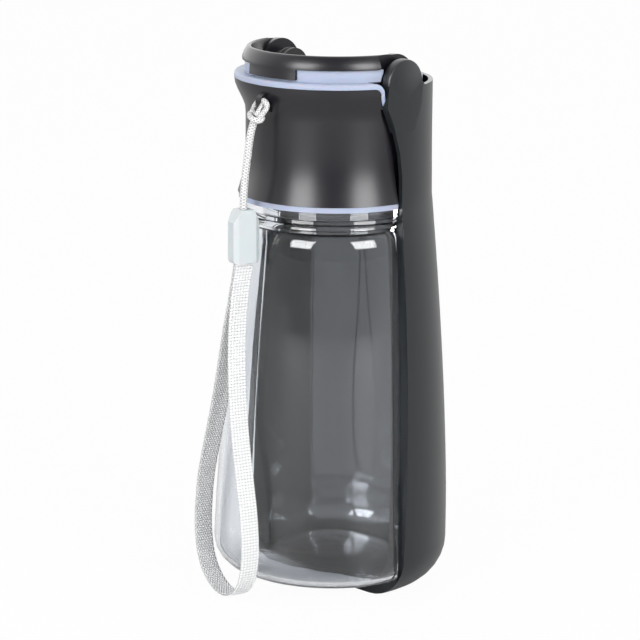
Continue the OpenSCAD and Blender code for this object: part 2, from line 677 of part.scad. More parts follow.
// Half of the clamp: a faceted shell that grips the strap's ends and the cord
module clamp_half(side) {
    grip = 7;
    at = hang([clamp_u, clamp_c, clamp_z]);
    color([0.86, 0.9, 0.91, 0.8]) translate(at) rotate([0, 0, strap_turn]) difference() {
        intersection() {
            translate([side > 0 ? 0.02 : -clamp_t, -clamp_w, 0]) cube([clamp_t - 0.02, 2 * clamp_w, clamp_h]);
            intersection() {
                // front outline, narrowing to the cord at the top
                rotate([90, 0, 90]) linear_extrude(2 * clamp_t, center = true)
                    polygon([[-clamp_w / 2 + 0.8, 0], [clamp_w / 2 - 0.8, 0], [clamp_w / 2, 1.2],
                        [clamp_w / 2, clamp_h - 4.5], [2.6, clamp_h], [-2.6, clamp_h],
                        [-clamp_w / 2, clamp_h - 4.5], [-clamp_w / 2, 1.2]]);
                // side outline, with a facet along each edge
                linear_extrude(clamp_h) polygon([for (s = [[1, 1], [-1, 1], [-1, -1], [1, -1]])
                    each (s[0] * s[1] > 0
                        ? [[s[0] * clamp_t / 2, s[1] * (clamp_w / 2 - 1.8)],
                           [s[0] * (clamp_t / 2 - 1.1), s[1] * clamp_w / 2]]
                        : [[s[0] * (clamp_t / 2 - 1.1), s[1] * clamp_w / 2],
                           [s[0] * clamp_t / 2, s[1] * (clamp_w / 2 - 1.8)]])]);
            }
        }
        translate([-strap_t - 0.2, -strap_w / 2 - 0.15, -1]) cube([2 * strap_t + 0.4, strap_w + 0.3, grip + 1]);
        translate([0, 0, clamp_h - 5]) cylinder(r = cord_d / 2 + 0.12, h = 9, $fn = 32);
    }
}
module cord_clamp_front() clamp_half(1);
module cord_clamp_back() clamp_half(-1);

bottle_body();
neck_gasket();
collar();
inner_cap();
top_seal();
valve_seat();
mouth_ring();
valve_barrel();
barrel_o_ring_left();
barrel_o_ring_right();
hinge_shaft_left();
hinge_shaft_right();
hinge_washer_left();
hinge_washer_right();
trough();
lanyard_cord();
cord_knot();
cord_clamp_front();
cord_clamp_back();
wrist_strap();
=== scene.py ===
# %% [markdown]
# A travel water bottle for dogs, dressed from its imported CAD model.
# The frame comes first: it loads every solid at its real size and place, in metres, with +Z up,
# the hinge axis along X and the front of the bottle towards -Y. Everything below either gives one of
# those solids a finish, or replaces a soft one with a finer mesh in the same place.

# %% Load the frame
import math

import bmesh
import bpy
from mathutils import Matrix, Vector


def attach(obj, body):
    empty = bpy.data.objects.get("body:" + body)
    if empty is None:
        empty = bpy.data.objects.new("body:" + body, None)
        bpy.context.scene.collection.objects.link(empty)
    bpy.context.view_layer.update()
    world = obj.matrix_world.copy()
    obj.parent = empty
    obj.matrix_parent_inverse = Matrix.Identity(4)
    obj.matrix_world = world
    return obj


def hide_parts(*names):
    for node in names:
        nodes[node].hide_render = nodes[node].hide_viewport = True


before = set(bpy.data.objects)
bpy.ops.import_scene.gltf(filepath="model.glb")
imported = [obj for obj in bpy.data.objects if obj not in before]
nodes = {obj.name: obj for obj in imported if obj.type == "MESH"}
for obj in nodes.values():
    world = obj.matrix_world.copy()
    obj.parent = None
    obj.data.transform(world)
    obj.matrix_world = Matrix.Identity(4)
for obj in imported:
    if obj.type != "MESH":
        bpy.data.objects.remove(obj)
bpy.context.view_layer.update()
MM = 0.001

# %% [markdown]
# The camera stands where the photographer stood: 44.5 degrees round from the front towards the near
# hinge, 13 degrees above the middle of the bottle, and about a metre away with a long lens, which is why
# the sides of the bottle hardly converge. A small shift and a half-degree roll give the photograph's framing.

# %% Camera
AIM = Vector((0, 0, 0.1059))
REACH = 1.045  # metres from the aim to the lens
ROLL = math.radians(0.45)
SENSOR_MM = 36
PHOTO_PX = 640
FOCAL_PX = 2734
SHIFT_PX = (-12.6, -11.0)
AZIMUTH, ELEVATION = math.radians(44.5), math.radians(13.2)
back = Vector((math.sin(AZIMUTH) * math.cos(ELEVATION),
               -math.cos(AZIMUTH) * math.cos(ELEVATION),
               math.sin(ELEVATION)))
camera_data = bpy.data.cameras.new("camera")
camera = bpy.data.objects.new("camera", camera_data)
bpy.context.scene.collection.objects.link(camera)
camera.location = AIM + back * REACH
turn = (-back).to_track_quat("-Z", "Y").to_matrix().to_4x4()
camera.rotation_euler = (turn @ Matrix.Rotation(ROLL, 4, "Z")).to_euler()
camera_data.sensor_width = SENSOR_MM
camera_data.lens = SENSOR_MM * FOCAL_PX / PHOTO_PX
camera_data.shift_x = SHIFT_PX[0] / PHOTO_PX
camera_data.shift_y = SHIFT_PX[1] / PHOTO_PX
bpy.context.scene.camera = camera
print("camera", tuple(round(v, 4) for v in camera.location), "lens", round(camera_data.lens, 1))

# %% [markdown]
# Helpers. A finish is a small node tree on the Principled shader. Patterns read Object coordinates,
# which is the same as the place in the frame because every piece keeps its place in its mesh.

# %% Material helpers
def material(name, base, roughness, **sockets):
    """A new Principled material with these values on the shader's own sockets."""
    made = bpy.data.materials.new(name)
    made.use_nodes = True
    shader = made.node_tree.nodes["Principled BSDF"]
    shader.inputs["Base Color"].default_value = (*base, 1)
    shader.inputs["Roughness"].default_value = roughness
    for key, value in sockets.items():
        shader.inputs[key.replace("_", " ")].default_value = value
    return made


def add(made, kind, **values):
    """One more node in a material, with its properties and inputs set."""
    node = made.node_tree.nodes.new(kind)
    for key, value in values.items():
        if hasattr(node, key):
            setattr(node, key, value)
        else:
            node.inputs[key.replace("_", " ")].default_value = value
    return node


def join(made, a, b):
    made.node_tree.links.new(a, b)


def shader_of(made):
    return made.node_tree.nodes["Principled BSDF"]


def ramp(made, low_at, low, high_at, high):
    """A colour ramp with two ends, each a place and a colour."""
    node = add(made, "ShaderNodeValToRGB")
    for end, at, colour in zip(node.color_ramp.elements, (low_at, high_at), (low, high)):
        end.position, end.color = at, (*colour, 1)
    return node


def grain(made, scale, depth, rough_low, rough_high, detail=3.0):
    """A fine grain: a noise that moves the roughness a little and bumps the surface."""
    shader = shader_of(made)
    where = add(made, "ShaderNodeTexCoord")
    noise = add(made, "ShaderNodeTexNoise", Scale=scale, Detail=detail)
    join(made, where.outputs["Object"], noise.inputs["Vector"])
    spread = add(made, "ShaderNodeMapRange")
    spread.inputs["To Min"].default_value = rough_low
    spread.inputs["To Max"].default_value = rough_high
    join(made, noise.outputs["Fac"], spread.inputs["Value"])
    join(made, spread.outputs["Result"], shader.inputs["Roughness"])
    bump = add(made, "ShaderNodeBump")
    bump.inputs["Strength"].default_value = 1.0
    bump.inputs["Distance"].default_value = depth
    join(made, noise.outputs["Fac"], bump.inputs["Height"])
    join(made, bump.outputs["Normal"], shader.inputs["Normal"])
    return noise


def dress(node_name, made):
    """Gives a CAD node its finish."""
    mesh = nodes[node_name].data
    mesh.materials.clear()
    mesh.materials.append(made)


# %% [markdown]
# The lanyard. On the real bottle a thin braided cord is hitched through the eye on the collar, and its
# ends go into a pale clamp with the two ends of the strap. The routes are those of the CAD source, in
# metres. Only the cord's last three points stand up to 2.2 millimetres aside, where the photograph has
# them below the knot. A tube swept along a smooth curve keeps its thickness in the bends.

# %% Routes of cord and strap
STRAP_TURN = math.radians(165)
ALONG = Vector((math.cos(STRAP_TURN), math.sin(STRAP_TURN), 0))
OUTWARD = Vector((-math.sin(STRAP_TURN), math.cos(STRAP_TURN), 0))


def hang(u, c, z):
    """A point in the strap's hanging plane, from millimetres to the frame in metres."""
    return (ALONG * u + OUTWARD * c) * MM + Vector((0, 0, z * MM))


strap_route = [hang(*p) for p in [
    (-7.9, 42.6, 136), (-7.8, 42.6, 130), (-5.8, 43.4, 118), (-5.6, 44.6, 102), (-8.2, 46, 84),
    (-12.6, 47.2, 66), (-17.5, 47.8, 49), (-20.6, 47.8, 35), (-21.6, 47.8, 22), (-19.4, 47.8, 11),
    (-13, 47.8, 4), (-4, 47.8, 1.5), (5, 47.8, 3.6), (12, 47.8, 9.5), (15.3, 47.8, 19),
    (15.4, 47.8, 30), (13, 47.8, 44), (8.6, 47.6, 58), (4.4, 46.8, 73), (1.4, 45.7, 88),
    (-0.8, 44.6, 102), (-3.8, 43.4, 117), (-6.4, 42.6, 130), (-6.3, 42.6, 136)]]
cord_route = [Vector(p) * MM for p in [
    (-4.1, -43, 146), (-4.1, -43.1, 152), (-3.8, -43, 158), (-3.5, -42.6, 164),
    (-3, -42, 170), (-2.7, -41.5, 175), (-2.2, -40.9, 179.4), (-1.5, -40.1, 183)]]


def smooth(points, steps):
    """A smooth curve through the points, with so many steps in each span."""
    out = []
    last = len(points) - 1
    for i in range(last):
        a, b, c, d = points[max(0, i - 1)], points[i], points[i + 1], points[min(last, i + 2)]
        for k in range(steps):
            t = k / steps
            out.append(0.5 * (2 * b + t * (c - a) + t * t * (2 * a - 5 * b + 4 * c - d)
                              + t ** 3 * (3 * b - a - 3 * c + d)))
    return out + [points[last]]


def length_of(points):
    return sum((b - a).length for a, b in zip(points, points[1:]))


def heading(points, i):
    return (points[min(len(points) - 1, i + 1)] - points[max(0, i - 1)]).normalized()


def mesh_object(name, vertices, faces, uvs):
    """A smoothly shaded mesh at the origin, with a UV for each corner."""
    mesh = bpy.data.meshes.new(name)
    mesh.from_pydata([tuple(v) for v in vertices], [], faces)
    layer = mesh.uv_layers.new(name="along")
    for polygon in mesh.polygons:
        for corner, place in zip(polygon.loop_indices, uvs[polygon.index]):
            layer.data[corner].uv = place
    mesh.shade_smooth()
    made = bpy.data.objects.new(name, mesh)
    bpy.context.scene.collection.objects.link(made)
    return made


def tube(name, points, radius, sides=16, reference=(0.3, 1, 0.1)):
    """A closed round tube along the points; its UVs count round it and metres along it."""
    rings, places, run = [], [], 0.0
    for i, p in enumerate(points):
        t = heading(points, i)
        s = t.cross(Vector(reference)).normalized()
        w = t.cross(s)
        r = radius(i / (len(points) - 1)) if callable(radius) else radius
        rings += [p + r * (math.cos(a) * s + math.sin(a) * w)
                  for a in [2 * math.pi * j / sides for j in range(sides)]]
        if i:
            run += (p - points[i - 1]).length
        places.append(run)
    faces, uvs = [], []
    for i in range(len(points) - 1):
        for j in range(sides):
            k = (j + 1) % sides
            faces.append((i * sides + j, i * sides + k, (i + 1) * sides + k, (i + 1) * sides + j))
            uvs.append([(j / sides, places[i]), ((j + 1) / sides, places[i]),
                        ((j + 1) / sides, places[i + 1]), (j / sides, places[i + 1])])
    end = (len(points) - 1) * sides
    faces.append(tuple(reversed(range(sides))))
    uvs.append([(0.5, 0)] * sides)
    faces.append(tuple(end + j for j in range(sides)))
    uvs.append([(0.5, run)] * sides)
    return mesh_object(name, rings, faces, uvs)


print("strap loop", round(length_of(smooth(strap_route, 8)), 4), "m")
print("cord", round(length_of(smooth(cord_route, 8)), 4), "m")

# %% [markdown]
# The braid's yarn is a white polyester. Its finish reads the tube's own UV map, so the strands wind round
# the cord wherever it goes: two wave patterns that cross give the plait, with painted shade in its grooves.

# %% Braided cord finish
yarn = material("braided white yarn", (0.83, 0.83, 0.83), 0.75)
yarn_uv = add(yarn, "ShaderNodeUVMap", uv_map="along")
parts = add(yarn, "ShaderNodeSeparateXYZ")
join(yarn, yarn_uv.outputs["UV"], parts.inputs["Vector"])


def crossing(made, split, across, along, sign):
    """A ridge pattern that winds one way: the sine of both UV directions added."""
    a = add(made, "ShaderNodeMath", operation="MULTIPLY")
    a.inputs[1].default_value = across * 2 * math.pi
    b = add(made, "ShaderNodeMath", operation="MULTIPLY")
    b.inputs[1].default_value = sign * along * 2 * math.pi
    join(made, split.outputs["X"], a.inputs[0])
    join(made, split.outputs["Y"], b.inputs[0])
    total = add(made, "ShaderNodeMath", operation="ADD")
    join(made, a.outputs[0], total.inputs[0])
    join(made, b.outputs[0], total.inputs[1])
    wave = add(made, "ShaderNodeMath", operation="SINE")
    join(made, total.outputs[0], wave.inputs[0])
    return wave


RIDGES_ROUND, RIDGES_PER_METRE = 4, 900
left_lay = crossing(yarn, parts, RIDGES_ROUND, RIDGES_PER_METRE, 1)
right_lay = crossing(yarn, parts, RIDGES_ROUND, RIDGES_PER_METRE, -1)
plait = add(yarn, "ShaderNodeMath", operation="MAXIMUM")
join(yarn, left_lay.outputs[0], plait.inputs[0])
join(yarn, right_lay.outputs[0], plait.inputs[1])
# painted shade: the yarn turns grey in the grooves between the strands and stays white on the ridges
painted_groove_shade = ramp(yarn, 0.0, (0.5, 0.5, 0.51), 0.55, (0.85, 0.85, 0.85))
join(yarn, plait.outputs[0], painted_groove_shade.inputs["Fac"])
join(yarn, painted_groove_shade.outputs["Color"], shader_of(yarn).inputs["Base Color"])
lift = add(yarn, "ShaderNodeBump")
lift.inputs["Strength"].default_value = 0.6
lift.inputs["Distance"].default_value = 0.0003
join(yarn, plait.outputs[0], lift.inputs["Height"])
join(yarn, lift.outputs["Normal"], shader_of(yarn).inputs["Normal"])

# %% Cord
CORD_RADIUS = 0.00142
cord_line = smooth(cord_route, 6)
cord = tube("lanyard_cord_braid", cord_line, CORD_RADIUS)
cord.data.materials.append(yarn)
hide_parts("lanyard_cord")
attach(cord, "bottle")
print("cord", len(cord.data.polygons), "faces")

# %% [markdown]
# The strap is one length of flat webbing, folded into a loop whose two ends go up into the clamp.
# Its outer face is close and white. The inner face of the far leg shows the gaps between the picks, where the
# grey core is their painted shade.
# The strap is swept along its route, which keeps its width even.

# %% Webbing finish
# the core's grey is painted shade for the gaps between the yarn knuckles
core_in_painted_gap_shade = material("webbing core in painted gap shade", (0.56, 0.565, 0.575), 0.9)
grain(core_in_painted_gap_shade, 2600, 3e-5, 0.85, 0.95)
web_yarn = material("white polyester yarn", (0.85, 0.855, 0.86), 0.62,
                    Sheen_Weight=0.15, Sheen_Roughness=0.5)
twist = grain(web_yarn, 2200, 2e-5, 0.55, 0.7, detail=2.0)
tone = ramp(web_yarn, 0.3, (0.76, 0.765, 0.77), 0.6, (0.87, 0.875, 0.88))
join(web_yarn, twist.outputs["Fac"], tone.inputs["Fac"])
join(web_yarn, tone.outputs["Color"], shader_of(web_yarn).inputs["Base Color"])

# %% Strap
STRAP_W, STRAP_T = 0.0074, 0.0008
# the core is full in the middle and a tenth as thick at its edges, and rounds off close to them
EDGE_SHARE, EDGE_POWER = 0.1, 5
strap_line = smooth(strap_route, 8)


def ribbon(name, points, width, thick, across=8):
    """A flat band with rounded edges whose width stays square to the hanging plane."""
    section = []
    for k in range(across + 1):
        x = -1 + 2 * k / across
        section.append((x, math.sqrt(max(0.0, 1 - abs(x) ** EDGE_POWER)) * (1 - EDGE_SHARE) + EDGE_SHARE))
    loop = [(x, h) for x, h in section] + [(x, -h) for x, h in reversed(section)]
    n = len(loop)
    rings, places, run = [], [], 0.0
    for i, p in enumerate(points):
        d = heading(points, i)
        up = OUTWARD.cross(d).normalized()
        wide = d.cross(up)
        rings += [p + wide * (x * width / 2) + up * (h * thick / 2) for x, h in loop]
        if i:
            run += (p - points[i - 1]).length
        places.append(run)
    faces, uvs = [], []
    for i in range(len(points) - 1):
        for j in range(n):
            k = (j + 1) % n
            faces.append((i * n + j, (i + 1) * n + j, (i + 1) * n + k, i * n + k))
            a, b = (loop[j][0] + 1) / 2, (loop[k][0] + 1) / 2
            uvs.append([(a, places[i]), (a, places[i + 1]), (b, places[i + 1]), (b, places[i])])
    end = (len(points) - 1) * n
    faces.append(tuple(range(n)))
    uvs.append([(0.5, 0)] * n)
    faces.append(tuple(end + j for j in reversed(range(n))))
    uvs.append([(0.5, run)] * n)
    return mesh_object(name, rings, faces, uvs)


strap = ribbon("wrist_strap_webbing", strap_line, STRAP_W, STRAP_T)
work = bmesh.new()
work.from_mesh(strap.data)
bmesh.ops.recalc_face_normals(work, faces=work.faces)
work.to_mesh(strap.data)
work.free()
strap.data.materials.append(core_in_painted_gap_shade)
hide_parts("wrist_strap")
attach(strap, "bottle")

# %% [markdown]
# The weave stands on the core as rows of small yarn knuckles. Thousands of equal knuckles that follow a
# path are work for Geometry Nodes: the tree walks along the route, sets a row of points across the strap
# at each pitch, and puts a low bead on each point. On the outer face the rows stand square to each other
# and close together. On the inner face each row is shifted by half a column and the beads are smaller,
# so the darker core shows between them, its grey a painted shade of the gaps.

# %% Weave tree
def weave_tree(name, bead_material):
    """A tree that sets rows of yarn knuckles along a curve; its sizes are named inputs."""
    tree = bpy.data.node_groups.new(name, "GeometryNodeTree")
    face = tree.interface
    face.new_socket("Geometry", in_out="INPUT", socket_type="NodeSocketGeometry")
    for label, kind, value in (("Pitch", "NodeSocketFloat", 0.001), ("Width", "NodeSocketFloat", 0.0076),
                               ("Columns", "NodeSocketInt", 7), ("Height", "NodeSocketFloat", 0.0005),
                               ("Shift", "NodeSocketFloat", 0.5),
                               ("Bead Size", "NodeSocketVector", (0.0006, 0.0006, 0.0002)),
                               ("Across", "NodeSocketVector", (0, 0, 1))):
        face.new_socket(label, in_out="INPUT", socket_type=kind).default_value = value
    face.new_socket("Geometry", in_out="OUTPUT", socket_type="NodeSocketGeometry")

    def put(kind, **values):
        node = tree.nodes.new(kind)
        for key, value in values.items():
            setattr(node, key, value)
        return node

    def link(a, b):
        tree.links.new(a, b)

    given, result = put("NodeGroupInput"), put("NodeGroupOutput")
    rows = put("GeometryNodeCurveToPoints", mode="LENGTH")
    link(given.outputs["Geometry"], rows.inputs["Curve"])
    link(given.outputs["Pitch"], rows.inputs["Length"])
    # the row's number, its tangent and its up direction are kept before the points are multiplied
    number, odd = put("GeometryNodeInputIndex"), put("ShaderNodeMath", operation="MODULO")
    link(number.outputs[0], odd.inputs[0])
    odd.inputs[1].default_value = 2
    keep_odd = put("GeometryNodeCaptureAttribute", domain="POINT")
    keep_odd.capture_items.new("FLOAT", "odd")
    keep_odd.capture_items.new("VECTOR", "tangent")
    link(rows.outputs["Points"], keep_odd.inputs["Geometry"])
    link(odd.outputs[0], keep_odd.inputs["odd"])
    link(rows.outputs["Tangent"], keep_odd.inputs["tangent"])
    spread = put("GeometryNodeDuplicateElements", domain="POINT")
    link(keep_odd.outputs["Geometry"], spread.inputs["Geometry"])
    link(given.outputs["Columns"], spread.inputs["Amount"])
    # place across the strap, from minus half to half, with every other row shifted by a share of a column
    shift = put("ShaderNodeMath", operation="MULTIPLY_ADD")
    link(keep_odd.outputs["odd"], shift.inputs[0])
    link(given.outputs["Shift"], shift.inputs[1])
    link(spread.outputs["Duplicate Index"], shift.inputs[2])
    centred = put("ShaderNodeMath", operation="ADD")
    link(shift.outputs[0], centred.inputs[0])
    first = put("ShaderNodeMath", operation="MULTIPLY_ADD")
    link(given.outputs["Shift"], first.inputs[0])
    first.inputs[1].default_value, first.inputs[2].default_value = -0.5, 0.5
    link(first.outputs[0], centred.inputs[1])
    share = put("ShaderNodeMath", operation="DIVIDE")
    link(centred.outputs[0], share.inputs[0])
    link(given.outputs["Columns"], share.inputs[1])
    from_middle = put("ShaderNodeMath", operation="SUBTRACT")
    link(share.outputs[0], from_middle.inputs[0])
    from_middle.inputs[1].default_value = 0.5
    step = put("ShaderNodeMath", operation="MULTIPLY")
    link(from_middle.outputs[0], step.inputs[0])
    link(given.outputs["Width"], step.inputs[1])
    sideways = put("ShaderNodeVectorMath", operation="SCALE")
    link(given.outputs["Across"], sideways.inputs[0])
    link(step.outputs[0], sideways.inputs["Scale"])
    up = put("ShaderNodeVectorMath", operation="CROSS_PRODUCT")
    link(given.outputs["Across"], up.inputs[0])
    link(keep_odd.outputs["tangent"], up.inputs[1])
    lifted = put("ShaderNodeVectorMath", operation="SCALE")
    link(up.outputs[0], lifted.inputs[0])
    link(given.outputs["Height"], lifted.inputs["Scale"])
    offset = put("ShaderNodeVectorMath", operation="ADD")
    link(sideways.outputs[0], offset.inputs[0])
    link(lifted.outputs[0], offset.inputs[1])
    move = put("GeometryNodeSetPosition")
    link(spread.outputs["Geometry"], move.inputs["Geometry"])
    link(offset.outputs[0], move.inputs["Offset"])
    bead = put("GeometryNodeMeshUVSphere")
    bead.inputs["Segments"].default_value, bead.inputs["Rings"].default_value = 8, 5
    bead.inputs["Radius"].default_value = 1.0
    sized = put("GeometryNodeTransform")
    link(bead.outputs["Mesh"], sized.inputs["Geometry"])
    link(given.outputs["Bead Size"], sized.inputs["Scale"])
    soft = put("GeometryNodeSetShadeSmooth")
    link(sized.outputs["Geometry"], soft.inputs["Geometry"])
    turned = put("FunctionNodeAxesToRotation", primary_axis="X", secondary_axis="Y")
    link(keep_odd.outputs["tangent"], turned.inputs["Primary Axis"])
    link(given.outputs["Across"], turned.inputs["Secondary Axis"])
    beads = put("GeometryNodeInstanceOnPoints")
    link(move.outputs["Geometry"], beads.inputs["Points"])
    link(soft.outputs["Geometry"], beads.inputs["Instance"])
    link(turned.outputs["Rotation"], beads.inputs["Rotation"])
    real = put("GeometryNodeRealizeInstances")
    link(beads.outputs["Instances"], real.inputs["Geometry"])
    finish = put("GeometryNodeSetMaterial")
    finish.inputs["Material"].default_value = bead_material
    link(real.outputs["Geometry"], finish.inputs["Geometry"])
    link(finish.outputs["Geometry"], result.inputs["Geometry"])
    return tree


def from_tree(name, tree, points, finish, body, slot_name, **sizes):
    """Runs a tree on a poly curve through the points and keeps the result as a plain mesh."""
    line = bpy.data.curves.new(name + "_line", "CURVE")
    line.dimensions = "3D"
    spline = line.splines.new("POLY")
    spline.points.add(len(points) - 1)
    for dot, p in zip(spline.points, points):
        dot.co = (*p, 1)
    carrier = bpy.data.objects.new(name + "_line", line)
    bpy.context.scene.collection.objects.link(carrier)
    modifier = carrier.modifiers.new("tree", "NODES")
    modifier.node_group = tree
    sockets = {i.name: i.identifier for i in tree.interface.items_tree if i.in_out == "INPUT"}
    for label, value in sizes.items():
        modifier[sockets[label.replace("_", " ")]] = value
    view = bpy.context.evaluated_depsgraph_get()
    mesh = bpy.data.meshes.new_from_object(carrier.evaluated_get(view), preserve_all_data_layers=True,
                                           depsgraph=view)
    mesh.name = name
    made = bpy.data.objects.new(name, mesh)
    bpy.context.scene.collection.objects.link(made)
    bpy.data.objects.remove(carrier)
    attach(made, body)
    mesh.materials.clear()
    mesh.materials.append(finish)
    mesh.polygons.foreach_set("material_index", [0] * len(mesh.polygons))
    print(name, len(mesh.polygons), "faces in", finish.name)


# %% Weave on both faces
HIDDEN_STEPS = 4  # steps at each end of the line, inside the clamp, that get no beads
weave = weave_tree("woven_face", web_yarn)
face_line = strap_line[HIDDEN_STEPS:-HIDDEN_STEPS]
from_tree("strap_weave_outer", weave, face_line, web_yarn, "bottle", "white_webbing",
          Pitch=0.00115, Width=0.0074, Columns=6, Height=0.00036, Shift=0.0,
          Bead_Size=(0.0006, 0.0007, 0.0002), Across=tuple(OUTWARD))
from_tree("strap_weave_inner", weave, face_line, web_yarn, "bottle", "white_webbing",
          Pitch=0.00095, Width=0.007, Columns=7, Height=-0.00036, Shift=0.5,
          Bead_Size=(0.0004, 0.0004, 0.00026), Across=tuple(OUTWARD))

# %% [markdown]
# The hitch: a bight of the same yarn goes through the eye behind its bar. Its left leg comes out thin, the
# right one turns back on itself as two strands side by side, and one slanted turn holds them to the cord.

# %% Knot
def strand(name, points, radius):
    """One length of the cord's yarn through points in millimetres."""
    return tube(name, smooth([Vector(p) * MM for p in points], 6), radius, sides=12, reference=(0.2, 0.4, 1))


LEG_RADIUS, TURN_RADIUS = 0.00098, 0.00105
THIN_END, THICKENING = 0.0006, 0.0004  # the left leg's radius at the eye, and how much it gains
knot_pieces = [
    strand("knot_left_leg",
           [(-0.9, -37.5, 190.2), (-2.2, -38.0, 189.7), (-2.9, -38.6, 188.4), (-3.4, -39.4, 186.4),
            (-3.4, -40.0, 184.6)], lambda t: THIN_END + THICKENING * t),
    strand("knot_outer_leg",
           [(0.2, -37.4, 190.3), (2.0, -38.6, 190.5), (3.7, -39.0, 189.8), (4.1, -39.2, 188.3),
            (3.0, -39.8, 186.3), (1.3, -40.1, 184.3)], LEG_RADIUS),
    strand("knot_inner_leg",
           [(0.4, -37.4, 190.0), (1.3, -38.6, 189.2), (1.1, -39.7, 187.4), (-0.2, -40.5, 185.0)], LEG_RADIUS),
    strand("knot_turn",
           [(-2.6, -38.6, 186.0), (-3.6, -40.1, 185.4), (-2.2, -41.5, 184.4), (0.5, -41.7, 183.6),
            (1.9, -40.3, 183.4), (1.6, -38.9, 184.4)], TURN_RADIUS)]
for piece in knot_pieces:
    piece.data.materials.append(yarn)
    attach(piece, "bottle")
    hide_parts("cord_knot")
print("knot", sum(len(piece.data.polygons) for piece in knot_pieces), "faces")

# %% [markdown]
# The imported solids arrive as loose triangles. A rigid shell whose shape is right gets a merged copy, shaded
# smoothly across its curved faces and sharply at its real edges, with a small rounding on those edges,
# because no moulded edge is knife sharp and the rounding is what catches the light.

# %% Merged copies of the solids
SAME_PLACE, NO_LENGTH = 2e-6, 1e-6  # metres


def fine_copy(node_name, name, made, body, bevel=0.0, sharp=32):
    """A merged, smoothly shaded copy of a solid, that stands for it."""
    mesh = nodes[node_name].data.copy()
    mesh.name = name
    work = bmesh.new()
    work.from_mesh(mesh)
    bmesh.ops.remove_doubles(work, verts=work.verts, dist=SAME_PLACE)
    bmesh.ops.dissolve_degenerate(work, edges=work.edges, dist=NO_LENGTH)
    for edge in work.edges:
        edge.smooth = len(edge.link_faces) == 2 and edge.calc_face_angle(0) < math.radians(sharp)
    for one in work.faces:
        one.smooth = True
    work.to_mesh(mesh)
    work.free()
    if "custom_normal" in mesh.attributes:
        mesh.attributes.remove(mesh.attributes["custom_normal"])
    mesh.materials.clear()
    mesh.materials.append(made)
    piece = bpy.data.objects.new(name, mesh)
    bpy.context.scene.collection.objects.link(piece)
    if bevel:
        rounding = piece.modifiers.new("edge rounding", "BEVEL")
        rounding.width, rounding.segments = bevel, 2
        rounding.limit_method, rounding.angle_limit = "ANGLE", math.radians(sharp)
        rounding.harden_normals = True
        rounding.use_clamp_overlap = True
    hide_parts(node_name)
    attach(piece, body)
    print(name, len(mesh.polygons), "triangles")


# %% [markdown]
# The clamp is a pale, slightly milky plastic with flat facets. Light that scatters under a slightly
# rough surface gives it the soft inner look of the real one.

# %% Clamp finish
milky = material("milky clamp plastic", (0.6, 0.65, 0.67), 0.3,
                 Subsurface_Weight=0.25, Subsurface_Scale=0.003, IOR=1.46)
grain(milky, 900, 4e-7, 0.26, 0.34)
for name in ("cord_clamp_front", "cord_clamp_back"):
    dress(name, milky)
print("clamp halves dressed")

# %% [markdown]
# The black shells are moulded in a smooth plastic. A very dark grey base with a clean gloss gives
# broad, soft reflections; a fine grain keeps them from looking like glass.

# %% Black plastics
shell_black = material("black moulded shell", (0.0075, 0.0068, 0.0105), 0.3, IOR=1.5)
grain(shell_black, 1800, 2e-7, 0.27, 0.33)
trough_black = material("black trough plastic", (0.009, 0.0115, 0.0135), 0.3, IOR=1.5)
grain(trough_black, 1800, 2e-7, 0.28, 0.34)
inner_black = material("black inner plastic", (0.022, 0.022, 0.024), 0.5)
grain(inner_black, 1100, 3e-5, 0.44, 0.6)
dark_rubber = material("black rubber", (0.01, 0.01, 0.01), 0.7)
grain(dark_rubber, 1500, 3e-5, 0.62, 0.8)
washer_grey = material("dark washer", (0.05, 0.05, 0.055), 0.45)
grain(washer_grey, 1200, 2e-5, 0.4, 0.55)
fine_copy("collar", "collar_shell", shell_black, "bottle", bevel=0.0002)
fine_copy("mouth_ring", "mouth_ring_shell", shell_black, "bottle", bevel=0.00035)
fine_copy("trough", "trough_shell", trough_black, "trough", sharp=38)
for name in ("inner_cap", "valve_barrel", "hinge_shaft_left", "hinge_shaft_right"):
    dress(name, inner_black)
for name in ("barrel_o_ring_left", "barrel_o_ring_right"):
    dress(name, dark_rubber)
for name in ("hinge_washer_left", "hinge_washer_right"):
    dress(name, washer_grey)

# %% [markdown]
# The seals are pale blue silicone: soft, matt, and lit a little from within, which a low
# subsurface weight gives.

# %% Silicone
silicone = material("pale blue silicone", (0.41, 0.46, 0.6), 0.42,
                    Subsurface_Weight=0.3, Subsurface_Scale=0.002)
grain(silicone, 900, 8e-7, 0.4, 0.5)
dress("valve_seat", silicone)
fine_copy("neck_gasket", "neck_gasket_ring", silicone, "bottle", bevel=0.0002)
fine_copy("top_seal", "top_seal_ring", silicone, "bottle", bevel=0.0002)

# %% [markdown]
# The bottle is clear plastic with a faint blue-grey tint. It looks dark only because the black trough
# stands behind it; past the trough's far rim it is nearly white.

# %% Clear plastic
clear = material("clear smoke plastic", (0.895, 0.915, 0.945), 0.03, Transmission_Weight=1.0, IOR=1.5)
fine_copy("bottle_body", "bottle_shell", clear, "bottle", sharp=40)

# %% [markdown]
# The studio: a pale floor that keeps a soft shadow and otherwise shows as white, a white world, and on
# each side of the camera a soft box that lights matt surfaces, and a larger one that is only mirrored,
# or seen through the clear plastic.

# %% Floor
HALF_FLOOR = 3  # metres
FLOOR_WHITE = 0.96  # how much of what is seen of the floor glows white
SHELTER_REACH = 0.05  # metres from the floor up to what shades it
floor_mesh = bpy.data.meshes.new("floor")
floor_mesh.from_pydata([(x * HALF_FLOOR, y * HALF_FLOOR, 0) for x, y in ((-1, -1), (1, -1), (1, 1), (-1, 1))],
                       [], [(0, 1, 2, 3)])
floor = bpy.data.objects.new("floor", floor_mesh)
bpy.context.scene.collection.objects.link(floor)
pale = material("pale floor", (0.85, 0.85, 0.85), 0.6)
light_path = add(pale, "ShaderNodeLightPath")
seen = add(pale, "ShaderNodeMath", operation="MAXIMUM")
join(pale, light_path.outputs["Is Camera Ray"], seen.inputs[0])
